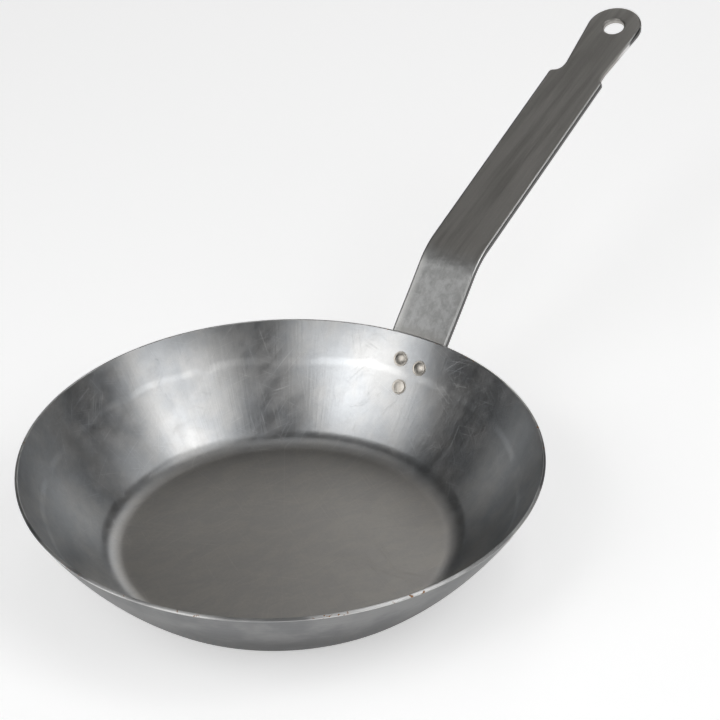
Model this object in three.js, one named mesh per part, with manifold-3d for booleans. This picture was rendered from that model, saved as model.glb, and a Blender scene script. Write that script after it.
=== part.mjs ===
// A French-style carbon steel frying pan: one pressed steel bowl, one flat steel bar bent into a handle, and
// three solid rivets that hold the bar against the outside of the wall.
//
// Millimetres, +Z up. The origin is the centre of the flat underside, and the handle points along +X.
// Profiles are drawn as (radius, height) from the pan's axis.

import * as THREE from "three";
import { mergeVertices } from "three/addons/utils/BufferGeometryUtils.js";
import Module from "manifold-3d";

const wasm = await Module();
wasm.setup();

const degrees = THREE.MathUtils.degToRad;

// ---- Bowl ----
const SHEET = 2; // thickness of the steel
const LIP_RADIUS = 140; // outer edge of the lip
const FLOOR_RADIUS = 86.3; // where the flat underside ends and the corner begins
const CORNER_RADIUS = 21; // of the outside of the corner between floor and wall
const FOOT_ANGLE = degrees(42.3); // of the wall above the horizontal where the corner ends
const WALL_RADIUS = 208; // of the gentle curve that steepens the wall from its foot to the lip

// ---- Handle, measured along the face of the bar that looks at the pan and up ----
const BAR_WIDTH = 35;
const BAR_THICKNESS = 4;
const TAB_LENGTH = 40; // from the lip down the wall to the end of the riveted tab
const TAB_END_RADIUS = 18.5;
const LEAVES_WALL = 6.3; // from the lip down the wall to the start of the lower bend
const LOWER_BEND_RADIUS = 30;
const RISE_ANGLE = degrees(45.3); // of the bar between its bends
const RISE_LENGTH = 50.4; // from the end of the lower bend to the corner that the upper bend rounds
const UPPER_BEND_RADIUS = 42;
const GRIP_ANGLE = degrees(18.2); // of the bar beyond its upper bend
const GRIP_LENGTH = 210.2; // from that corner to the end of the bar

// ---- Hanging end, measured along the grip from the same corner ----
const SHOULDER = 149.7; // where the bar starts to narrow
const NECK = 158; // where it is narrowest
const END_RADIUS = 16.3;
const END_TAPER = degrees(5.2); // each side of the neck opens by this much towards the round end
const END_OFFSET = -1.8; // the neck, round end and hole are punched a little off the bar's middle
const HOLE_RADIUS = 6;

// ---- Rivets: each is placed by its arc across the wall and its distance down the wall from the lip ----
const RIVETS = [
  { name: "rivet_upper_left", across: 6.1, down: 14.7, dome: 0.8 },
  { name: "rivet_upper_right", across: -6.7, down: 16.7, dome: 0.8 },
  { name: "rivet_lower", across: 2, down: 30.1, dome: 0.4 },
];
const SHANK_RADIUS = 2.6;
const HEAD_RADIUS = 4.25; // head inside the bowl
const HEAD_EDGE = 0.4; // height of that head's rim, below its dome
const TAIL_RADIUS = 5; // head on the outside of the tab
const TAIL_EDGE = 0.6;
const TAIL_DOME = 1.6;

// ---- Fits and smoothness ----
const GAP = 0.3; // between pieces that touch
const LATHE_SIDES = 72;
const ROUND_SIDES = 20;
const CORNER_STEPS = 7;
const WALL_STEPS = 6;
const TAB_STEPS = 5;
const DOME_STEPS = 4;
const OUTLINE_STEPS = 12;
const LOWER_BEND_STEPS = 4;
const UPPER_BEND_STEPS = 8;
const WIDTH_STEPS = 4; // across the bar, so that the tab can be curved to the wall
const TRIM = 5; // the bar is drawn this much longer at both ends, and its outlines cut it to length

// ---- Materials ----
const bowlSteel = new THREE.MeshStandardMaterial({ color: 0x8f8d8a, roughness: 0.38, metalness: 1 });
const barSteel = new THREE.MeshStandardMaterial({ color: 0x716d69, roughness: 0.5, metalness: 1 });
const rivetSteel = new THREE.MeshStandardMaterial({ color: 0xa69f94, roughness: 0.42, metalness: 1 });

// ---- Directions in a profile: along a line at an angle, and square to it on the pan's outside ----
const along = (angle) => new THREE.Vector2(Math.cos(angle), Math.sin(angle));
const outOf = (angle) => new THREE.Vector2(Math.sin(angle), -Math.cos(angle));
const step = (from, direction, distance) => from.clone().addScaledVector(direction, distance);

const cornerCentre = new THREE.Vector2(FLOOR_RADIUS, CORNER_RADIUS);
const wallCentre = step(cornerCentre, outOf(FOOT_ANGLE), CORNER_RADIUS - WALL_RADIUS);
const lipAngle = Math.asin((LIP_RADIUS - wallCentre.x) / WALL_RADIUS);

// A point down the wall from the lip and moved off its outer face, with the wall's angle there.
function onWall(down, outwards) {
  const angle = lipAngle - down / WALL_RADIUS;
  return { point: step(wallCentre, outOf(angle), WALL_RADIUS + outwards), angle };
}

// ---- Booleans ----
function solidOf(geometry) {
  geometry.deleteAttribute("normal");
  geometry.deleteAttribute("uv");
  const merged = mergeVertices(geometry, 1e-4);
  const vertProperties = new Float32Array(merged.attributes.position.array);
  const triVerts = new Uint32Array(merged.index.array);
  return new wasm.Manifold(new wasm.Mesh({ numProp: 3, vertProperties, triVerts }));
}

function geometryOf(solid) {
  const mesh = solid.getMesh();
  const geometry = new THREE.BufferGeometry();
  geometry.setAttribute("position", new THREE.BufferAttribute(mesh.vertProperties, 3));
  geometry.setIndex(new THREE.BufferAttribute(mesh.triVerts, 1));
  geometry.computeVertexNormals();
  return geometry;
}

// A profile turned about +Z. LatheGeometry turns about its own Y, which is then laid along +Z.
function turned(profile, sides) {
  return new THREE.LatheGeometry(profile, sides).rotateX(Math.PI / 2);
}

// A cylinder along +Z, centred on the origin.
function cylinder(radius, length) {
  return new THREE.CylinderGeometry(radius, radius, length, ROUND_SIDES).rotateX(Math.PI / 2);
}

// Points of an arc about a centre, where each angle is the direction of the surface that the arc makes.
function arc(centre, radius, fromAngle, toAngle, steps) {
  return Array.from({ length: steps + 1 }, (_, i) => {
    const angle = THREE.MathUtils.lerp(fromAngle, toAngle, i / steps);
    return { point: step(centre, outOf(angle), radius), angle };
  });
}

// ---- Rivet seats: a frame on the inner face of the wall, with +Z pointing into the bowl ----
function rivetSeat({ across, down }) {
  const { point, angle } = onWall(down, -SHEET);
  const seat = new THREE.Group();
  seat.position.set(point.x, 0, point.y);
  seat.rotation.y = -angle;
  const bearing = new THREE.Group();
  bearing.rotation.z = across / point.x;
  bearing.add(seat);
  bearing.updateMatrixWorld(true);
  return seat;
}

// The clearance holes that the rivets need, through both the wall and the tab.
function rivetBores() {
  const length = 4 * (SHEET + BAR_THICKNESS);
  return RIVETS.map((rivet) => {
    const bore = cylinder(SHANK_RADIUS + GAP, length);
    return solidOf(bore.applyMatrix4(rivetSeat(rivet).matrixWorld));
  });
}

// ---- Bowl: floor, corner and flared, gently curved wall from one sheet, with its lip cut square ----
function bowlGeometry() {
  const outside = [
    ...arc(cornerCentre, CORNER_RADIUS, 0, FOOT_ANGLE, CORNER_STEPS),
    ...arc(wallCentre, WALL_RADIUS, FOOT_ANGLE, lipAngle, WALL_STEPS).slice(1),
  ];
  const inside = [
    ...arc(wallCentre, WALL_RADIUS - SHEET, lipAngle, FOOT_ANGLE, WALL_STEPS),
    ...arc(cornerCentre, CORNER_RADIUS - SHEET, FOOT_ANGLE, 0, CORNER_STEPS).slice(1),
  ];
  const profile = [
    new THREE.Vector2(0, 0),
    ...outside.map(({ point }) => point),
    ...inside.map(({ point }) => point),
    new THREE.Vector2(0, SHEET),
  ];
  let bowl = solidOf(turned(profile, LATHE_SIDES));
  for (const bore of rivetBores()) bowl = bowl.subtract(bore);
  return geometryOf(bowl);
}

// ---- Handle ----
// A bend that starts at a point and turns the bar downwards from one angle to another.
function bend(start, radius, fromAngle, toAngle, steps) {
  const centre = step(start, outOf(fromAngle), radius);
  return arc(centre, -radius, fromAngle, toAngle, steps);
}

const leaving = onWall(LEAVES_WALL, GAP);
const lowerBend = bend(leaving.point, LOWER_BEND_RADIUS, leaving.angle, RISE_ANGLE, LOWER_BEND_STEPS);
const riseStart = lowerBend.at(-1).point;
// Where the rise and the grip would meet if the upper bend did not round the corner between them.
const upperCorner = step(riseStart, along(RISE_ANGLE), RISE_LENGTH);

// The bent bar at full width, seen from the side and carried across.
function bentBar() {
  const blankStart = onWall(TAB_LENGTH + TRIM, GAP).angle;
  const setback = UPPER_BEND_RADIUS * Math.tan((RISE_ANGLE - GRIP_ANGLE) / 2);
  const riseEnd = step(upperCorner, along(RISE_ANGLE), -setback);
  const blankEnd = step(upperCorner, along(GRIP_ANGLE), GRIP_LENGTH + TRIM);
  const stations = [
    ...arc(wallCentre, WALL_RADIUS + GAP, blankStart, leaving.angle, TAB_STEPS),
    ...lowerBend.slice(1),
    ...bend(riseEnd, UPPER_BEND_RADIUS, RISE_ANGLE, GRIP_ANGLE, UPPER_BEND_STEPS),
    { point: blankEnd, angle: GRIP_ANGLE },
  ];
  const upperFace = stations.map(({ point }) => point);
  const lowerFace = stations.map(({ point, angle }) => step(point, outOf(angle), BAR_THICKNESS));
  const side = new THREE.Shape([...lowerFace, ...upperFace.reverse()]);
  const options = { depth: BAR_WIDTH, steps: WIDTH_STEPS, bevelEnabled: false };
  const bar = new THREE.ExtrudeGeometry(side, options);
  return bar.rotateX(Math.PI / 2).translate(0, BAR_WIDTH / 2, 0);
}

// Curves the bar to the wall's own radius at each height, up to the end of the lower bend.
function curveTab(bar) {
  const bendEnd = riseStart.dot(along(RISE_ANGLE)) + GAP;
  const position = bar.attributes.position;
  for (let i = 0; i < position.count; i += 1) {
    const [x, y, z] = [position.getX(i), position.getY(i), position.getZ(i)];
    const reach = new THREE.Vector2(x, z).dot(along(RISE_ANGLE));
    if (reach < bendEnd) position.setX(i, Math.sqrt(x * x - y * y));
  }
  return bar;
}

// A flat outline in the plane that the bar's upper face lies in at a corner, thickened both ways far enough
// to hold the whole handle. Outline x runs along the bar at that angle, and outline y across it towards +Y.
function outlineSolid(outline, corner, angle) {
  const thickness = 2 * (GRIP_LENGTH + RISE_LENGTH);
  const options = { depth: thickness, bevelEnabled: false, curveSegments: OUTLINE_STEPS };
  const block = new THREE.ExtrudeGeometry(outline, options);
  block.translate(0, 0, -thickness / 2);
  block.rotateY(-angle).translate(corner.x, 0, corner.y);
  return solidOf(block);
}

// The tab's round end, seen square on to the middle of the tab, from where the bar passes the lip.
function tabOutline() {
  const centre = TAB_END_RADIUS - TAB_LENGTH;
  const outline = new THREE.Shape();
  outline.moveTo(GRIP_LENGTH + RISE_LENGTH, -TAB_END_RADIUS);
  outline.lineTo(GRIP_LENGTH + RISE_LENGTH, TAB_END_RADIUS);
  outline.lineTo(centre, TAB_END_RADIUS);
  outline.absarc(centre, 0, TAB_END_RADIUS, Math.PI / 2, (3 * Math.PI) / 2);
  return outline;
}

// The shoulders, neck and round end, seen square on to the grip, from the upper corner.
function gripOutline() {
  const start = -2 * RISE_LENGTH;
  const clear = BAR_WIDTH / 2 + TRIM;
  const centre = GRIP_LENGTH - END_RADIUS;
  const neckHalf = END_RADIUS / Math.cos(END_TAPER) - (centre - NECK) * Math.tan(END_TAPER);
  const outline = new THREE.Shape();
  outline.moveTo(start, -clear);
  outline.lineTo(SHOULDER, -clear);
  outline.quadraticCurveTo(SHOULDER, END_OFFSET - neckHalf, NECK, END_OFFSET - neckHalf);
  outline.absarc(centre, END_OFFSET, END_RADIUS, -Math.PI / 2 - END_TAPER, Math.PI / 2 + END_TAPER);
  outline.lineTo(NECK, END_OFFSET + neckHalf);
  outline.quadraticCurveTo(SHOULDER, END_OFFSET + neckHalf, SHOULDER, clear);
  outline.lineTo(start, clear);
  return outline;
}

function hangingHole() {
  const place = step(upperCorner, along(GRIP_ANGLE), GRIP_LENGTH - END_RADIUS);
  const hole = cylinder(HOLE_RADIUS, 4 * BAR_THICKNESS);
  return solidOf(hole.rotateY(-GRIP_ANGLE).translate(place.x, END_OFFSET, place.y));
}

function handleGeometry() {
  const tabAngle = onWall(TAB_LENGTH / 2, GAP).angle;
  let handle = solidOf(curveTab(bentBar()));
  handle = handle.intersect(outlineSolid(tabOutline(), onWall(0, GAP).point, tabAngle));
  handle = handle.intersect(outlineSolid(gripOutline(), upperCorner, GRIP_ANGLE));
  handle = handle.subtract(hangingHole());
  for (const bore of rivetBores()) handle = handle.subtract(bore);
  return geometryOf(handle);
}

// ---- Rivets: a low head inside the bowl, a shank through wall and tab, and a rounder head outside ----
// A shallow dome's points from its edge to its top, or down to its bottom when the rise is negative.
function dome(radius, edge, rise) {
  return Array.from({ length: DOME_STEPS + 1 }, (_, i) => {
    const turn = (i / DOME_STEPS) * (Math.PI / 2);
    const onAxis = i === DOME_STEPS;
    return new THREE.Vector2(onAxis ? 0 : radius * Math.cos(turn), edge + rise * Math.sin(turn));
  });
}

function rivetGeometry(rivet) {
  const headBase = GAP;
  const tailBase = -(SHEET + GAP + BAR_THICKNESS + GAP);
  const profile = [
    ...dome(TAIL_RADIUS, tailBase - TAIL_EDGE, -TAIL_DOME).reverse(),
    new THREE.Vector2(TAIL_RADIUS, tailBase),
    new THREE.Vector2(SHANK_RADIUS, tailBase),
    new THREE.Vector2(SHANK_RADIUS, headBase),
    new THREE.Vector2(HEAD_RADIUS, headBase),
    ...dome(HEAD_RADIUS, headBase + HEAD_EDGE, rivet.dome),
  ];
  return turned(profile, ROUND_SIDES);
}

// ---- Assembly ----
function named(name, geometry, material) {
  const mesh = new THREE.Mesh(geometry, material);
  mesh.name = name;
  return mesh;
}

const pan = new THREE.Group();
pan.add(named("pan_body", bowlGeometry(), bowlSteel));
pan.add(named("handle", handleGeometry(), barSteel));
for (const rivet of RIVETS) {
  const seat = rivetSeat(rivet);
  seat.add(named(rivet.name, rivetGeometry(rivet), rivetSteel));
  pan.add(seat.parent);
}

export default pan;
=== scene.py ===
"""A carbon steel frying pan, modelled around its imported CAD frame.

The bowl, the bar handle and the three rivets of the frame are each replaced by a finer piece of the same
size, with rounded edges and procedural steel. Lengths are in metres, +Z is up, and the handle points
along +X.
"""

import math

import bmesh
import bpy
from mathutils import Matrix, Quaternion, Vector


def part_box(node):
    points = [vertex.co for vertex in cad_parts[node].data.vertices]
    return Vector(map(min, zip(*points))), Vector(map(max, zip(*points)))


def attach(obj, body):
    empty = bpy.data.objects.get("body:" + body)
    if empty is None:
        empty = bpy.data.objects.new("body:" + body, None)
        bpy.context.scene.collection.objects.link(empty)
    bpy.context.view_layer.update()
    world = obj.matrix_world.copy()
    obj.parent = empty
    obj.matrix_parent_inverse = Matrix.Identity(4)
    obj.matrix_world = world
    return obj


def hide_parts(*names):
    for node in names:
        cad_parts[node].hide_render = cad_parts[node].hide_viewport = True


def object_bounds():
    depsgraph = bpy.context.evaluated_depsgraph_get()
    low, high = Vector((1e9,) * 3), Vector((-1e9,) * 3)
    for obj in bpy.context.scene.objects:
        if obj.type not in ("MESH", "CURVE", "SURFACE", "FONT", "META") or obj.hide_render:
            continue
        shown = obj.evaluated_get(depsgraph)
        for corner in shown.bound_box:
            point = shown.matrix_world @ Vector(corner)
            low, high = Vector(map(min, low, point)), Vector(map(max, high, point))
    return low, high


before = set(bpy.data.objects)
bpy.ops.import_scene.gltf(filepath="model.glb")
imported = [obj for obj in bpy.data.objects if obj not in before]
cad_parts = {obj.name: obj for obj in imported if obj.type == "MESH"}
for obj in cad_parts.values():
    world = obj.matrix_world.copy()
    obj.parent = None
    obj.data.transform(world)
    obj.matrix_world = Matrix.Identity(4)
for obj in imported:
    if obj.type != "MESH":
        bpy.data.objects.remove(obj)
cad_low, cad_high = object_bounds()

MM = 0.001
SAME_PLACE = 1e-7
WELD_DISTANCE = 1e-6

# ---- Bowl: a flat floor, a tight corner and a wall that is one wide arc ----
LIP_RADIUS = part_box("pan_body")[1].x
SHEET = 2 * MM
FLOOR_RADIUS = 86.3 * MM
CORNER_RADIUS = 21 * MM
FOOT_ANGLE = math.radians(42.3)
WALL_RADIUS = 208 * MM
LIP_ROUNDING = 0.55 * MM
BOWL_SIDES = 288
FLOOR_STEPS = 10
CORNER_STEPS = 20
WALL_STEPS = 24
LIP_STEPS = 5
OUTSIDE, LIP, INSIDE = range(3)

# ---- Handle, measured along the face of the bar that looks at the pan and up ----
handle_low, handle_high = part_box("handle")
BAR_WIDTH = handle_high.y - handle_low.y
BAR_THICKNESS = 4 * MM
BAR_ROUNDING = 1.2 * MM
TAB_GAP = 0.3 * MM
TAB_LENGTH = 40 * MM
TAB_END_RADIUS = 18.5 * MM
LEAVES_WALL = 6.3 * MM
LOWER_BEND_RADIUS = 30 * MM
RISE_ANGLE = math.radians(45.3)
RISE_LENGTH = 50.4 * MM
UPPER_BEND_RADIUS = 42 * MM
GRIP_ANGLE = math.radians(18.2)
GRIP_LENGTH = 210.2 * MM
CURVED_SHARE_OF_RISE = 0.8
BAR_SHARP_ANGLE = math.radians(50)

# ---- Hanging end, measured along the grip from the corner where the rise would meet it ----
SHOULDER = 149.7 * MM
SHOULDER_ROUNDING = 2 * MM
SHOULDER_SLOPE = 0.6 * MM
HOLLOW_CORNER = 2 * MM
NECK = 158 * MM
END_RADIUS = 16.3 * MM
END_TAPER = math.radians(5.2)
END_OFFSET = -1.8 * MM
HOLE_RADIUS = 6 * MM
ROUND_STEPS = 48
TAB_STEPS = 40

# ---- Rivets: a low rounded cap on a flat head inside the bowl, and a domed tail behind the tab ----
HEAD_RADIUS = 4.25 * MM
HEAD_RIM = 0.4 * MM
HEAD_CHAMFER = 0.15 * MM
CAP_RADIUS = HEAD_RADIUS * 0.76
CAP_GROOVE = 0.08 * MM
UPPER_CAP_RISE = 0.65 * MM
LOWER_CAP_RISE = 0.2 * MM
SHANK_RADIUS = 2.6 * MM
TAIL_RADIUS = 5 * MM
TAIL_RISE = 1.6 * MM
TAIL_EDGE = 0.7 * MM
RIVET_SIDES = 64
DOME_STEPS = 12
RIVET_SHARP_ANGLE = math.radians(40)

# ---- Steel: each pair of colours is blended by noise ----
WALL_TONES = [(0.49, 0.505, 0.52), (0.585, 0.585, 0.58)]
FLOOR_TONES = [(0.43, 0.415, 0.395), (0.46, 0.442, 0.412)]
# Painted shade: the outside is the same steel as the inside, painted darker.
OUTSIDE_PAINTED_SHADE_TONES = [(0.22, 0.223, 0.227), (0.30, 0.30, 0.30)]
# Painted reflection: the lip's bright and dark stretches stand in for highlights and dark reflections.
LIP_PAINTED_REFLECTION_TONES = [(0.40, 0.40, 0.40), (0.78, 0.78, 0.77)]
BAR_TONES = [(0.37, 0.358, 0.336), (0.47, 0.455, 0.43)]
RISE_TONES = [(0.40, 0.40, 0.395), (0.56, 0.565, 0.56)]
RIVET_TONES = [(0.50, 0.465, 0.415), (0.62, 0.59, 0.54)]
RUST = (0.36, 0.17, 0.06)
RUBBED_RISE = (0.80, 0.80, 0.78)
# Partly wear, partly painted highlight: the bar's rounded edges are painted lighter.
EDGE_WEAR_AND_HIGHLIGHT = (0.80, 0.80, 0.79)
# Painted shade: the bar's sides are painted nearly black.
SIDE_PAINTED_SHADE = (0.045, 0.044, 0.043)
GRAZING_TINT = (0.7, 0.7, 0.7)
LEAST_ROUGHNESS = 0.29

# ---- Where the bowl's looks change, in millimetres from its axis or above its underside ----
FLOOR_FADES = (84.0, 98.0)
# Painted highlight: a lighter ring at the foot of the wall, where the overhead softbox reflects.
PAINTED_HIGHLIGHT_RING = 90.0
SCUFF_HEIGHT = 36.5
# Painted shade: the outside darkens towards its bottom between these heights.
PAINTED_SHADE_HEIGHTS = (8.0, 44.0)

# ---- The wall's own directions: brushing runs down it, and it is longer down its slope than it is high ----
BRUSHED_RADIUS = 130.0
BRUSHED_DOWN = 0.04
SLOPE_PER_HEIGHT = 1.3

# ---- Scratches, in degrees clockwise: from level on the unrolled wall, and from +X on the floor ----
WALL_STROKES = [14, -22, 48, 105]
FLOOR_STROKES = [15, 70, 125]
STROKE_SOFTNESS = 0.06

# ---- Camera ----
VIEW_AZIMUTH = math.radians(-56.69)
VIEW_ELEVATION = math.radians(32.69)
VIEW_ROLL = math.radians(-1.87)
VIEW_DISTANCE = 1.7566
VIEW_LENS = 160
AIM_FROM_CENTRE = Vector((-21.87, 11.31, -18.47)) * MM

# ---- Studio: each softbox has a name, azimuth and elevation in degrees, side in metres, and watts ----
LIGHT_DISTANCE = 1.6
SOFTBOXES = [
    ("left_softbox", 160, 42, 0.9, 2.4),
    ("left_core", 172, 42, 0.5, 1.2),
    ("left_edge", 135, 42, 0.5, 0.75),
    ("left_high", 168, 56, 0.5, 1.0),
    ("left_low", 158, 24, 0.6, 1.4),
    ("right_softbox", -88, 45, 0.9, 2.4),
    ("right_core", -72, 50, 0.5, 1.3),
    ("right_edge", -108, 44, 0.5, 0.7),
    ("right_high", -85, 66, 0.5, 0.75),
    ("right_low", -82, 28, 0.5, 0.8),
    ("near_softbox", -40, 40, 0.4, 0.5),
    ("side_softbox", -165, 38, 0.5, 1.1),
    ("back_softbox", 23, 34, 0.5, 1.3),
    ("top_softbox", -32, 66, 0.5, 0.9),
    ("overhead_softbox", 60, 70, 0.5, 0.5),
]
WORLD_GLOW = 0.035
FLOOR_GLOW = 0.55
FLOOR_REACH = 6
FLOOR_SHADE = 0.9


# ---- Directions in a profile of (radius, height): along a line, and square to it on the pan's outside ----
def along(angle):
    return Vector((math.cos(angle), math.sin(angle)))


def out_of(angle):
    return Vector((math.sin(angle), -math.cos(angle)))


corner_centre = Vector((FLOOR_RADIUS, CORNER_RADIUS))
wall_centre = corner_centre - out_of(FOOT_ANGLE) * (WALL_RADIUS - CORNER_RADIUS)
LIP_ANGLE = math.asin((LIP_RADIUS - wall_centre.x) / WALL_RADIUS)


def arc(centre, radius, start, end, steps):
    """Points about a centre, where each angle is the direction of the surface that the arc makes."""
    return [centre + out_of(start + (end - start) * i / steps) * radius for i in range(steps + 1)]


def on_wall(down, outwards=0.0):
    """A point some way down the outside of the wall from the lip, moved outwards, and the wall's angle."""
    angle = LIP_ANGLE - down / WALL_RADIUS
    return wall_centre + out_of(angle) * (WALL_RADIUS + outwards), angle


def line(start, end, steps):
    return [start.lerp(end, i / steps) for i in range(steps + 1)]


def smoothstep(low, high, value):
    t = min(max((value - low) / (high - low), 0), 1)
    return t * t * (3 - 2 * t)


# ---- Making pieces ----
def new_piece(name, mesh, node, materials):
    """Links a smooth-shaded mesh as a piece that stands for a CAD node."""
    for material in materials:
        mesh.materials.append(material)
    mesh.polygons.foreach_set("use_smooth", [True] * len(mesh.polygons))
    piece = bpy.data.objects.new(name, mesh)
    bpy.context.scene.collection.objects.link(piece)
    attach(piece, "root")
    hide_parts(node)
    return piece


def lathe(profile, sides, zones=None):
    """A bmesh of a profile turned about Z, which starts and ends on the axis. Zones are face materials."""
    bm = bmesh.new()
    rings = []
    for point in profile:
        if point.x < SAME_PLACE:
            rings.append([bm.verts.new((0, 0, point.y))])
            continue
        turns = [2 * math.pi * i / sides for i in range(sides)]
        rings.append([bm.verts.new((point.x * math.cos(t), point.x * math.sin(t), point.y)) for t in turns])
    for index, (lower, upper) in enumerate(zip(rings, rings[1:])):
        for i in range(sides):
            j = (i + 1) % sides
            corners = [lower[i % len(lower)], lower[j % len(lower)],
                       upper[j % len(upper)], upper[i % len(upper)]]
            face = bm.faces.new(list(dict.fromkeys(corners)))
            face.material_index = zones[index] if zones else 0
    bmesh.ops.recalc_face_normals(bm, faces=bm.faces)
    return bm


def mesh_of(name, bm):
    mesh = bpy.data.meshes.new(name)
    bm.to_mesh(mesh)
    bm.free()
    return mesh


# ---- Bowl ----
def bowl_profile():
    """The sheet's outline from the middle of the underside round to the middle of the cooking floor, and
    the zone of each stretch between its points."""
    foot, lip = FOOT_ANGLE, LIP_ANGLE
    rounding = LIP_ROUNDING / WALL_RADIUS
    across = math.pi / 2
    outer_corner = wall_centre + out_of(lip - rounding) * (WALL_RADIUS - LIP_ROUNDING)
    inner_corner = wall_centre + out_of(lip - rounding) * (WALL_RADIUS - SHEET + LIP_ROUNDING)
    stretches = [
        (OUTSIDE, line(Vector((0, 0)), Vector((FLOOR_RADIUS, 0)), FLOOR_STEPS)),
        (OUTSIDE, arc(corner_centre, CORNER_RADIUS, 0, foot, CORNER_STEPS)),
        (OUTSIDE, arc(wall_centre, WALL_RADIUS, foot, lip - rounding, WALL_STEPS)),
        (LIP, arc(outer_corner, LIP_ROUNDING, lip, lip + across, LIP_STEPS)),
        (LIP, arc(inner_corner, LIP_ROUNDING, lip + across, lip + 2 * across, LIP_STEPS)),
        (INSIDE, arc(wall_centre, WALL_RADIUS - SHEET, lip - rounding, foot, WALL_STEPS)),
        (INSIDE, arc(corner_centre, CORNER_RADIUS - SHEET, foot, 0, CORNER_STEPS)),
        (INSIDE, line(Vector((FLOOR_RADIUS, SHEET)), Vector((0, SHEET)), FLOOR_STEPS)),
    ]
    profile, zones = [], []
    for zone, points in stretches:
        if profile and (points[0] - profile[-1]).length < SAME_PLACE:
            points = points[1:]
        profile += points
        zones += [zone] * len(points)
    return profile, zones[1:]


def make_bowl(materials):
    profile, zones = bowl_profile()
    mesh = mesh_of("bowl", lathe(profile, BOWL_SIDES, zones))
    bowl = new_piece("bowl", mesh, "pan_body", materials)
    bowl.modifiers.new("weighted_normals", "WEIGHTED_NORMAL")
    return bowl


# ---- Handle ----
def bar_path():
    """The bar's upper face seen from the side, from the tab's end to the tip, as stretches of
    (length, start point, start angle, turn), where a turn of 0 is straight."""
    tab_end, tab_end_angle = on_wall(TAB_LENGTH, TAB_GAP)
    leaving, wall_angle = on_wall(LEAVES_WALL, TAB_GAP)
    tab_turn = tab_end_angle - wall_angle
    lower_turn, upper_turn = wall_angle - RISE_ANGLE, RISE_ANGLE - GRIP_ANGLE
    rise_start = leaving + (out_of(wall_angle) - out_of(RISE_ANGLE)) * LOWER_BEND_RADIUS
    upper_corner = rise_start + along(RISE_ANGLE) * RISE_LENGTH
    setback = UPPER_BEND_RADIUS * math.tan(upper_turn / 2)
    return [
        (-tab_turn * (WALL_RADIUS + TAB_GAP), tab_end, tab_end_angle, tab_turn),
        (LOWER_BEND_RADIUS * lower_turn, leaving, wall_angle, lower_turn),
        (RISE_LENGTH - setback, rise_start, RISE_ANGLE, 0),
        (UPPER_BEND_RADIUS * upper_turn, upper_corner - along(RISE_ANGLE) * setback, RISE_ANGLE, upper_turn),
        (GRIP_LENGTH - setback, upper_corner + along(GRIP_ANGLE) * setback, GRIP_ANGLE, 0),
    ]


PATH = bar_path()
BAR_LENGTH = sum(stretch[0] for stretch in PATH)
RISE_MIDDLE = BAR_LENGTH - GRIP_LENGTH - RISE_LENGTH / 2
BAR_PLACE = "bar_place"


def bent(length, depth):
    """Where a point of the flat bar goes when bent: length is along the upper face, and depth below it."""
    for index, (span, start, angle, turn) in enumerate(PATH):
        if length <= span or index == len(PATH) - 1:
            break
        length -= span
    if turn == 0:
        return start + along(angle) * length + out_of(angle) * depth
    radius = span / turn
    here = angle - length / radius
    centre = start + out_of(angle) * radius
    return centre - out_of(here) * (radius - depth)


def flat_outline():
    """The bar's outline before bending, anticlockwise, as (distance along the bar, place across it)."""
    half = BAR_WIDTH / 2
    grip_start = BAR_LENGTH - GRIP_LENGTH
    centre = grip_start + GRIP_LENGTH - END_RADIUS
    neck_half = END_RADIUS / math.cos(END_TAPER) - (GRIP_LENGTH - END_RADIUS - NECK) * math.tan(END_TAPER)
    shoulder, neck = grip_start + SHOULDER, grip_start + NECK

    def shoulder_curve(side):
        """From the straight side over a small rounded corner into the hollow before the neck."""
        edge, waist = side * half, END_OFFSET + side * neck_half
        corner = [Vector((shoulder - SHOULDER_ROUNDING, edge)), Vector((shoulder, edge)),
                  Vector((shoulder + SHOULDER_SLOPE, edge - side * SHOULDER_ROUNDING))]
        hollow = [corner[-1], Vector((shoulder + HOLLOW_CORNER, waist)), Vector((neck, waist))]
        return curve(corner, 6)[:-1] + curve(hollow, 10)

    right = shoulder_curve(-1)
    left = shoulder_curve(1)
    start, sweep = -math.pi / 2 - END_TAPER, math.pi + 2 * END_TAPER
    turns = [start + sweep * i / ROUND_STEPS for i in range(ROUND_STEPS + 1)]
    tip = [Vector((centre + END_RADIUS * math.cos(t), END_OFFSET + END_RADIUS * math.sin(t))) for t in turns]
    reach = math.asin(half / TAB_END_RADIUS)
    tab_turns = [math.pi - reach + 2 * reach * i / TAB_STEPS for i in range(TAB_STEPS + 1)]
    tab = [Vector((TAB_END_RADIUS * (1 + math.cos(t)), TAB_END_RADIUS * math.sin(t))) for t in tab_turns]
    return tab + right + tip + left[::-1]


def curve(control, steps):
    """Points of a curve that leaves the first control point towards the second and arrives at the third."""
    first, second, third = control
    shares = [i / steps for i in range(steps + 1)]
    return [first * (1 - t) ** 2 + second * (2 * t * (1 - t)) + third * t * t for t in shares]


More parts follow.
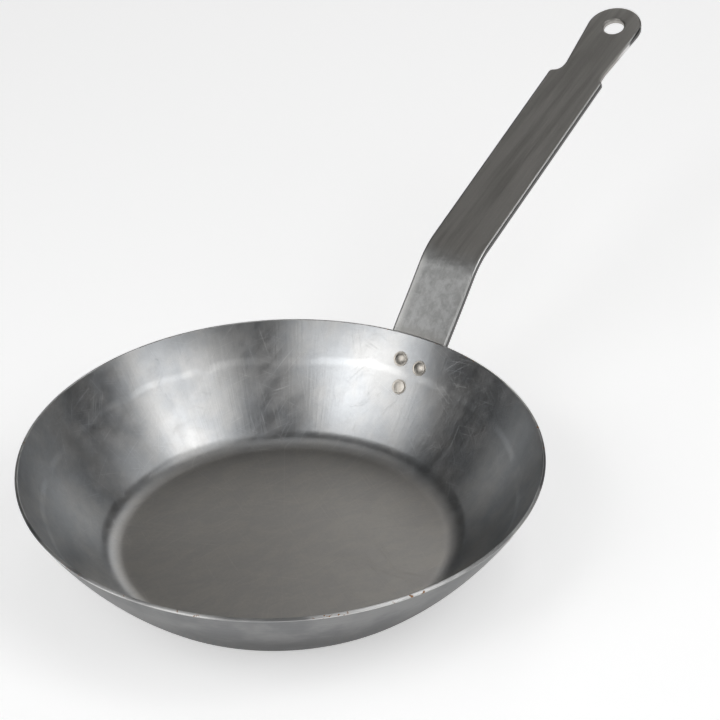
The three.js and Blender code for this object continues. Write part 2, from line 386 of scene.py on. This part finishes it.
def flat_bar():
    """The unbent bar: its outline and hanging hole filled, thickened and rounded at every edge."""
    data = bpy.data.curves.new("bar_blank", "CURVE")
    data.dimensions = "2D"
    data.fill_mode = "BOTH"
    data.extrude = BAR_THICKNESS / 2 - BAR_ROUNDING
    data.bevel_depth = BAR_ROUNDING
    data.bevel_resolution = 3
    data.offset = -BAR_ROUNDING
    hole_at = BAR_LENGTH - END_RADIUS
    turns = [2 * math.pi * i / ROUND_STEPS for i in range(ROUND_STEPS)]
    hole = [Vector((hole_at + HOLE_RADIUS * math.cos(t), END_OFFSET + HOLE_RADIUS * math.sin(t)))
            for t in turns]
    for outline in (flat_outline(), hole):
        spline = data.splines.new("POLY")
        spline.points.add(len(outline) - 1)
        for point, place in zip(spline.points, outline):
            point.co = (place.x, place.y, 0, 1)
        spline.use_cyclic_u = True
    blank = bpy.data.objects.new("bar_blank", data)
    bpy.context.scene.collection.objects.link(blank)
    mesh = bpy.data.meshes.new_from_object(blank.evaluated_get(bpy.context.evaluated_depsgraph_get()))
    bpy.data.objects.remove(blank)
    bpy.data.curves.remove(data)
    bm = bmesh.new()
    bm.from_mesh(mesh)
    bpy.data.meshes.remove(mesh)
    bmesh.ops.remove_doubles(bm, verts=bm.verts, dist=WELD_DISTANCE)
    return bm


def slice_bar(bm):
    """Cuts the flat bar across and along, closely where it bends, so that it can be bent smoothly."""
    bend_step, plain_step, width_step = 1.2 * MM, 8 * MM, 2.5 * MM
    cuts, start = [], 0
    for span, _, _, turn in PATH:
        count = math.ceil(span / (bend_step if turn else plain_step))
        cuts += [(Vector((start + span * i / count, 0, 0)), Vector((1, 0, 0))) for i in range(count + 1)]
        start += span
    rows = math.floor(BAR_WIDTH / 2 / width_step)
    cuts += [(Vector((0, i * width_step, 0)), Vector((0, 1, 0))) for i in range(-rows, rows + 1)]
    for place, normal in cuts:
        geometry = bm.verts[:] + bm.edges[:] + bm.faces[:]
        bmesh.ops.bisect_plane(bm, geom=geometry, dist=WELD_DISTANCE, plane_co=place, plane_no=normal)


def bend_bar(bm):
    """Bends the bar along its path and curves its tab to the wall, easing to flat along the rise."""
    rise_start = PATH[0][0] + PATH[1][0]
    flat_from = rise_start + PATH[2][0] * CURVED_SHARE_OF_RISE
    flat_place = bm.verts.layers.float_vector.new(BAR_PLACE)
    for vertex in bm.verts:
        vertex[flat_place] = vertex.co
        length, across, height = vertex.co
        place = bent(length, BAR_THICKNESS / 2 - height)
        formed = 1 - smoothstep(rise_start, flat_from, length)
        curved = math.sqrt(max(place.x ** 2 - across ** 2, 0))
        vertex.co = (place.x + (curved - place.x) * formed, across, place.y)


def make_handle(materials):
    bm = flat_bar()
    slice_bar(bm)
    bend_bar(bm)
    bmesh.ops.recalc_face_normals(bm, faces=bm.faces)
    handle = new_piece("bar_handle", mesh_of("bar_handle", bm), "handle", materials)
    handle.data.set_sharp_from_angle(angle=BAR_SHARP_ANGLE)
    weighted = handle.modifiers.new("weighted_normals", "WEIGHTED_NORMAL")
    weighted.keep_sharp = True
    return handle


# ---- Rivets ----
def rivet_profile(cap_rise):
    """From the middle of the tail to the middle of the cap. Height 0 is the inside face of the wall."""
    tail_base = -(SHEET + TAB_GAP + BAR_THICKNESS)
    dome_base = tail_base - TAIL_EDGE
    turns = [math.pi / 2 * i / DOME_STEPS for i in range(DOME_STEPS + 1)]
    tail = [Vector((TAIL_RADIUS * math.sin(t), dome_base - TAIL_RISE * math.cos(t))) for t in turns]
    shank = [Vector((TAIL_RADIUS, tail_base)), Vector((SHANK_RADIUS, tail_base)), Vector((SHANK_RADIUS, 0))]
    cap_base = HEAD_RIM - CAP_GROOVE
    head = [
        Vector((HEAD_RADIUS, 0)),
        Vector((HEAD_RADIUS, HEAD_RIM - HEAD_CHAMFER)),
        Vector((HEAD_RADIUS - HEAD_CHAMFER, HEAD_RIM)),
        Vector((CAP_RADIUS + 2 * HEAD_CHAMFER, HEAD_RIM)),
        Vector((CAP_RADIUS + HEAD_CHAMFER, cap_base)),
    ]
    shares = [1 - i / DOME_STEPS for i in range(DOME_STEPS + 1)]
    cap = [Vector((CAP_RADIUS * share, cap_base + cap_rise * (1 - share ** 2))) for share in shares]
    return tail + shank + head + cap


def rivet_seat(node):
    """The frame where a CAD rivet meets the inside of the wall, with +Z pointing into the bowl."""
    corners = [vertex.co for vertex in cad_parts[node].data.vertices]
    middle = sum(corners, Vector()) / len(corners)
    bearing = math.atan2(middle.y, middle.x)
    reach = Vector((math.hypot(middle.x, middle.y), middle.z)) - wall_centre
    angle = math.atan2(reach.x, -reach.y)
    place = wall_centre + out_of(angle) * (WALL_RADIUS - SHEET)
    seat = Matrix.Translation((place.x, 0, place.y)) @ Matrix.Rotation(-angle, 4, "Y")
    return Matrix.Rotation(bearing, 4, "Z") @ seat


def make_rivet(node, cap_rise, materials):
    bm = lathe(rivet_profile(cap_rise), RIVET_SIDES)
    bmesh.ops.transform(bm, matrix=rivet_seat(node), verts=bm.verts)
    name = node.replace("rivet", "steel_rivet")
    rivet = new_piece(name, mesh_of(name, bm), node, materials)
    rivet.data.set_sharp_from_angle(angle=RIVET_SHARP_ANGLE)
    return rivet


# ---- Materials ----
class Material:
    """A procedural metal. Its methods add nodes and give back outputs, so a look reads as a formula."""

    def __init__(self, name):
        self.material = bpy.data.materials.new(name)
        self.material.use_nodes = True
        self.tree = self.material.node_tree
        self.shader = self.tree.nodes["Principled BSDF"]
        self.shader.inputs["Metallic"].default_value = 1

    def put(self, value, socket):
        if isinstance(value, bpy.types.NodeSocket):
            self.tree.links.new(value, socket)
        else:
            socket.default_value = value

    def node(self, kind, *inputs, **settings):
        node = self.tree.nodes.new("ShaderNode" + kind)
        for key, value in settings.items():
            setattr(node, key, value)
        for value, socket in zip(inputs, node.inputs):
            if value is not None:
                self.put(value, socket)
        return node

    def math(self, operation, *values):
        return self.node("Math", *values, operation=operation).outputs[0]

    def fold(self, operation, values):
        """One operation applied to any number of values, from the first to the last."""
        result = values[0]
        for value in values[1:]:
            result = self.math(operation, result, value)
        return result

    def add(self, *values):
        return self.fold("ADD", values)

    def times(self, *values):
        return self.fold("MULTIPLY", values)

    def largest(self, *values):
        return self.fold("MAXIMUM", values)

    def swing(self, noise, amount):
        """Noise about 0.5 turned into a change about 0, of up to half the amount either way."""
        return self.times(self.add(noise, -0.5), amount)

    def position(self):
        """The place on the piece, in millimetres."""
        here = self.node("TexCoord").outputs["Object"]
        return self.node("VectorMath", here, (1 / MM,) * 3, operation="MULTIPLY").outputs[0]

    def bar_place(self):
        """The place on the bar before it was bent, in millimetres along, across and above its middle."""
        here = self.node("Attribute", attribute_name=BAR_PLACE).outputs["Vector"]
        return self.node("VectorMath", here, (1 / MM,) * 3, operation="MULTIPLY").outputs[0]

    def parts(self, vector):
        return self.node("SeparateXYZ", vector).outputs

    def vector(self, x, y, z):
        return self.node("CombineXYZ", x, y, z).outputs[0]

    def scaled(self, vector, factors, turn=(0, 0, 0)):
        """A vector turned by angles in degrees and then scaled, to stretch the texture that it feeds."""
        angles = tuple(math.radians(angle) for angle in turn)
        turned = self.node("Mapping", vector, None, angles).outputs[0] if any(turn) else vector
        return self.node("VectorMath", turned, tuple(factors), operation="MULTIPLY").outputs[0]

    def noise(self, vector, size, detail=2.0, roughness=0.5, distortion=0.0):
        """Soft noise about 0.5, whose features are about as large as size in the vector's units."""
        node = self.node("TexNoise")
        for name, value in (("Vector", vector), ("Scale", 1 / size), ("Detail", detail),
                            ("Roughness", roughness), ("Distortion", distortion)):
            self.put(value, node.inputs[name])
        return node.outputs[0]

    def ramp(self, value, low, high, start=0.0, end=1.0):
        """Eases from start to end while the value goes from low to high."""
        node = self.node("MapRange", value, low, high, start, end, interpolation_type="SMOOTHSTEP")
        return node.outputs[0]

    def band(self, value, centre, half_width, softness):
        """1 near a centre value and 0 away from it."""
        away = self.math("ABSOLUTE", self.math("SUBTRACT", value, centre))
        return self.ramp(away, half_width, half_width + softness, start=1.0, end=0.0)

    def blend(self, factor, first, second):
        node = self.node("Mix", data_type="RGBA")
        for index, value in ((0, factor), (6, first), (7, second)):
            self.put((*value, 1) if isinstance(value, tuple) else value, node.inputs[index])
        return node.outputs[2]

    def shaded(self, colour, brightness):
        """A colour made brighter or darker by a factor."""
        return self.node("VectorMath", colour, brightness, operation="MULTIPLY").outputs[0]

    def strokes(self, vector, width, length, turn, rarity):
        """A mask of sparse straight scratches, turned clockwise by degrees across the vector's X and Y."""
        stretched = self.scaled(vector, (1 / length, 1 / width, 1 / width), turn=(0, 0, turn))
        return self.ramp(self.noise(stretched, size=1.0, detail=1.0), rarity, rarity + STROKE_SOFTNESS)

    def finish(self, colour, roughness, height, depth):
        """Connects the look: a bump of this depth in millimetres comes from the height."""
        self.put(colour, self.shader.inputs["Base Color"])
        self.put(self.largest(roughness, LEAST_ROUGHNESS), self.shader.inputs["Roughness"])
        bump = self.node("Bump", 1.0, depth * MM)
        self.put(height, bump.inputs["Height"])
        self.put(bump.outputs[0], self.shader.inputs["Normal"])
        return self.material


def radius_of(look, place):
    x, y, _ = look.parts(place)
    return look.math("SQRT", look.add(look.times(x, x), look.times(y, y)))


def brushed_place(look, place):
    """The place on a ring of one radius, moved only slightly with height, so that noise is drawn out down
    the wall."""
    x, y, height = look.parts(place)
    radius = look.largest(radius_of(look, place), 1.0)
    ray = look.vector(look.math("DIVIDE", x, radius), look.math("DIVIDE", y, radius), 0.0)
    ring = look.scaled(ray, (BRUSHED_RADIUS, BRUSHED_RADIUS, 0.0))
    down = look.vector(0.0, 0.0, look.times(height, BRUSHED_DOWN))
    return look.node("VectorMath", ring, down, operation="ADD").outputs[0]


def unrolled_place(look, place):
    """The place on the wall as if it were unrolled flat: around it at the lip's radius, and up its slope."""
    x, y, height = look.parts(place)
    around = look.times(look.math("ARCTAN2", y, x), LIP_RADIUS / MM)
    return look.vector(around, look.times(height, SLOPE_PER_HEIGHT), 0.0)


def inside_look():
    """A burnished wall, brushed down its slope and scuffed, and a duller, warmer floor with swirls."""
    look = Material("bowl_inside")
    place = look.position()
    brushed, unrolled = brushed_place(look, place), unrolled_place(look, place)
    radius, height = radius_of(look, place), look.parts(place)[2]
    floor = look.ramp(radius, *FLOOR_FADES, start=1.0, end=0.0)
    wall = look.math("SUBTRACT", 1.0, floor)
    # Painted highlight: a lighter ring round the floor's edge.
    ring = look.band(radius, PAINTED_HIGHLIGHT_RING, half_width=1.0, softness=5.0)

    brushing = look.noise(brushed, size=1.1, detail=3.0)
    streaks = look.noise(brushed, size=7.0, detail=2.0)
    clouds = look.noise(place, size=26.0, detail=3.0, roughness=0.6)
    smudges = look.noise(place, size=9.0, detail=4.0, roughness=0.65, distortion=0.4)
    drawn_out = look.scaled(place, (0.22, 1.0, 1.0), turn=(0, 37, 22))
    feathers = look.noise(drawn_out, size=8.0, detail=4.0, roughness=0.6)
    grain = look.noise(place, size=1.6, detail=2.0, roughness=0.7)
    slanted = look.scaled(place, (0.45, 1.0, 1.0), turn=(0, 0, 30))
    wisps = look.noise(slanted, size=9.0, detail=5.0, roughness=0.7, distortion=0.7)

    scuff_height = look.add(SCUFF_HEIGHT, look.swing(look.noise(place, size=40.0), 7.0))
    above_scuff = look.math("SUBTRACT", height, scuff_height)
    scuff = look.times(look.band(above_scuff, 0.0, half_width=0.4, softness=2.2),
                       look.ramp(look.noise(place, size=20.0), 0.32, 0.55))
    wall_strokes = look.largest(*[
        look.strokes(unrolled, width=0.7, length=30.0, turn=turn, rarity=0.67) for turn in WALL_STROKES
    ])
    floor_strokes = look.largest(*[
        look.strokes(place, width=0.8, length=50.0, turn=turn, rarity=0.675) for turn in FLOOR_STROKES
    ])
    scratches = look.largest(wall_strokes, look.times(floor_strokes, floor))

    wall_tone = look.blend(look.ramp(clouds, 0.35, 0.65), *WALL_TONES)
    floor_tone = look.blend(look.ramp(wisps, 0.4, 0.62), *FLOOR_TONES)
    tone = look.blend(floor, wall_tone, floor_tone)
    light = look.add(
        1.0,
        look.times(look.swing(smudges, 0.22), wall),
        look.times(look.swing(feathers, 0.22), wall),
        look.swing(grain, 0.14),
        look.times(scuff, 0.24),
        look.times(scratches, 0.14),
        look.times(ring, 0.18),
    )
    rough = look.add(
        0.31,
        look.times(floor, 0.12),
        look.times(look.swing(feathers, 0.22), wall),
        look.times(look.swing(clouds, 0.10), wall),
        look.times(look.swing(streaks, 0.08), wall),
        look.times(scratches, 0.12),
        look.times(ring, 0.06),
    )
    relief = look.add(look.times(brushing, wall), look.times(wisps, floor, 0.6), look.times(grain, 0.25))
    return look.finish(look.shaded(tone, light), rough, relief, 0.03)


def outside_look():
    """A cooler outside with fine lines around it from spinning; its tones are painted darker as shade, and
    painted shade deepens towards the bottom.
    """
    look = Material("bowl_outside")
    place = look.position()
    height = look.parts(place)[2]
    lines = look.noise(look.vector(radius_of(look, place), height, 0.0), size=0.9, detail=3.0)
    patches = look.noise(place, size=22.0, detail=3.0, roughness=0.6)
    grain = look.noise(place, size=1.6, detail=2.0, roughness=0.7)
    marks = look.strokes(unrolled_place(look, place), width=0.6, length=40.0, turn=6, rarity=0.68)
    # Painted shade: the outside's tones are darker than the inside steel's.
    tone = look.blend(look.ramp(patches, 0.35, 0.65), *OUTSIDE_PAINTED_SHADE_TONES)
    # Painted shade: darkens the outside towards its bottom.
    painted_bottom_shade = look.ramp(look.add(height, look.swing(patches, 10.0)), *PAINTED_SHADE_HEIGHTS, start=0.10, end=1.0)
    light = look.times(look.add(1.0, look.swing(lines, 0.30), look.times(marks, 0.2)), painted_bottom_shade)
    rough = look.add(0.34, look.swing(patches, 0.12))
    relief = look.add(lines, look.times(grain, 0.5))
    look.put((*GRAZING_TINT, 1), look.shader.inputs["Specular Tint"])
    return look.finish(look.shaded(tone, light), rough, relief, 0.03)


def lip_look():
    """The cut edge, painted bright and dark in turns as painted reflections, partly also wear, with a few
    flecks of rust.
    """
    look = Material("bowl_lip")
    place = look.position()
    # Painted reflection and wear: this noise sets the lip's painted bright and dark stretches.
    wear_and_painted_reflection = look.noise(place, size=48.0, detail=3.0, roughness=0.5)
    nicks = look.noise(place, size=1.5, detail=2.0)
    fleck = look.times(look.ramp(look.noise(place, size=2.2, detail=2.0), 0.60, 0.68),
                       look.ramp(look.noise(place, size=21.0), 0.52, 0.6))
    lip_wear_and_reflection = look.blend(look.ramp(wear_and_painted_reflection, 0.42, 0.58), *LIP_PAINTED_REFLECTION_TONES)
    tone = look.blend(fleck, lip_wear_and_reflection, RUST)
    rough = look.add(0.34, look.times(wear_and_painted_reflection, 0.12), look.times(fleck, 0.3))
    look.put(look.math("SUBTRACT", 1.0, look.times(fleck, 0.7)), look.shader.inputs["Metallic"])
    return look.finish(tone, rough, look.add(wear_and_painted_reflection, nicks), 0.05)


def bar_look():
    """Dull dark steel, brushed along it, with a paler rise, worn edges with painted highlight, and painted
    shade on the sides.
    """
    look = Material("handle_bar")
    place = look.bar_place()
    along_bar, across, _ = look.parts(place)
    side = look.math("ABSOLUTE", across)
    half = BAR_WIDTH / 2 / MM
    rise = look.band(along_bar, RISE_MIDDLE / MM, half_width=RISE_LENGTH / 2 / MM - 8.0, softness=14.0)

    brushing = look.noise(look.scaled(place, (0.05, 1.0, 1.0)), size=0.8, detail=3.0)
    nearly_straight = look.scaled(place, (0.06, 1.0, 1.0), turn=(0, 0, 3))
    long_marks = look.noise(nearly_straight, size=6.0, detail=3.0, roughness=0.6)
    clouds = look.noise(look.scaled(place, (0.4, 1.0, 1.0)), size=15.0, detail=4.0, roughness=0.6)
    mottle = look.noise(place, size=5.5, detail=5.0, roughness=0.65, distortion=0.2)
    grain = look.noise(place, size=0.9, detail=2.0, roughness=0.7)
    scratches = look.largest(look.strokes(place, width=0.5, length=30.0, turn=8, rarity=0.70),
                             look.strokes(place, width=0.5, length=22.0, turn=-35, rarity=0.72))

    # Partly wear, partly painted highlight: lightens the bar's rounded edges.
    edge = look.ramp(look.add(side, look.swing(clouds, 1.0)), half - 1.6, half - 0.7)
    # Painted shade: the bar's sides are painted nearly black.
    side_painted_shade = look.ramp(side, half - 0.35, half - 0.1)
    rubbed = look.times(look.ramp(across, half - 6.0, half - 1.5), rise)

    dark = look.blend(look.ramp(long_marks, 0.35, 0.65), *BAR_TONES)
    pale = look.blend(look.ramp(mottle, 0.35, 0.65), *RISE_TONES)
    tone = look.blend(rise, dark, pale)
    tone = look.blend(look.times(rubbed, 0.8), tone, RUBBED_RISE)
    tone = look.blend(look.times(edge, 0.75), tone, EDGE_WEAR_AND_HIGHLIGHT)
    tone = look.blend(look.times(side_painted_shade, 0.9), tone, SIDE_PAINTED_SHADE)
    light = look.add(1.0, look.swing(brushing, 0.20), look.swing(grain, 0.16), look.times(scratches, 0.12))
    rough = look.add(0.46, look.swing(mottle, 0.18), look.swing(long_marks, 0.12), look.times(edge, -0.18))
    relief = look.add(look.times(brushing, 0.7), look.times(grain, 0.5), look.times(mottle, 0.8))
    return look.finish(look.shaded(tone, light), rough, relief, 0.035)


def rivet_look():
    """Warm satin steel with faint stains and small dents."""
    look = Material("rivet_head")
    place = look.position()
    stain = look.noise(place, size=1.8, detail=3.0, roughness=0.6)
    grain = look.noise(place, size=0.5, detail=2.0, roughness=0.7)
    tone = look.blend(look.ramp(stain, 0.35, 0.65), *RIVET_TONES)
    rough = look.add(0.36, look.swing(stain, 0.2))
    return look.finish(tone, rough, look.add(stain, look.times(grain, 0.5)), 0.03)


# ---- The object ----
make_bowl([outside_look(), lip_look(), inside_look()])
make_handle([bar_look()])
rivet_steel = rivet_look()
make_rivet("rivet_upper_left", UPPER_CAP_RISE, [rivet_steel])
make_rivet("rivet_upper_right", UPPER_CAP_RISE, [rivet_steel])
make_rivet("rivet_lower", LOWER_CAP_RISE, [rivet_steel])


# ---- Stage, light and camera ----
def make_floor():
    bm = bmesh.new()
    bmesh.ops.create_grid(bm, x_segments=1, y_segments=1, size=FLOOR_REACH)
    floor = bpy.data.objects.new("floor", mesh_of("floor", bm))
    bpy.context.scene.collection.objects.link(floor)
    material = bpy.data.materials.new("floor")
    material.use_nodes = True
    shader = material.node_tree.nodes["Principled BSDF"]
    shader.inputs["Base Color"].default_value = (FLOOR_SHADE, FLOOR_SHADE, FLOOR_SHADE, 1)
    shader.inputs["Roughness"].default_value = 0.9
    shader.inputs["Emission Color"].default_value = (1, 1, 1, 1)
    shader.inputs["Emission Strength"].default_value = FLOOR_GLOW
    floor.data.materials.append(material)


def make_softbox(name, azimuth, elevation, size, power):
    """A square area light that looks at the bowl from a direction, both angles in degrees."""
    turn, lift = math.radians(azimuth), math.radians(elevation)
    direction = Vector((math.cos(turn) * math.cos(lift), math.sin(turn) * math.cos(lift), math.sin(lift)))
    data = bpy.data.lights.new(name, "AREA")
    data.shape = "SQUARE"
    data.size = size
    data.energy = power
    light = bpy.data.objects.new(name, data)
    light.location = direction * LIGHT_DISTANCE
    light.rotation_mode = "QUATERNION"
    light.rotation_quaternion = (-direction).to_track_quat("-Z", "Y")
    bpy.context.scene.collection.objects.link(light)


def make_world(colour, strength):
    world = bpy.data.worlds.new("studio")
    world.use_nodes = True
    background = world.node_tree.nodes["Background"]
    background.inputs["Color"].default_value = (*colour, 1)
    background.inputs["Strength"].default_value = strength
    bpy.context.scene.world = world


def make_camera():
    back = Vector((math.sin(VIEW_AZIMUTH) * math.cos(VIEW_ELEVATION),
                   -math.cos(VIEW_AZIMUTH) * math.cos(VIEW_ELEVATION),
                   math.sin(VIEW_ELEVATION)))
    data = bpy.data.cameras.new("camera")
    data.lens = VIEW_LENS
    camera = bpy.data.objects.new("camera", data)
    camera.location = (cad_low + cad_high) / 2 + AIM_FROM_CENTRE + back * VIEW_DISTANCE
    camera.rotation_mode = "QUATERNION"
    level = (-back).to_track_quat("-Z", "Y")
    camera.rotation_quaternion = level @ Quaternion((0, 0, 1), VIEW_ROLL)
    bpy.context.scene.collection.objects.link(camera)
    bpy.context.scene.camera = camera


make_floor()
for softbox in SOFTBOXES:
    make_softbox(*softbox)
make_world((1, 1, 1), WORLD_GLOW)
make_camera()
bpy.context.scene.view_settings.view_transform = "Standard"
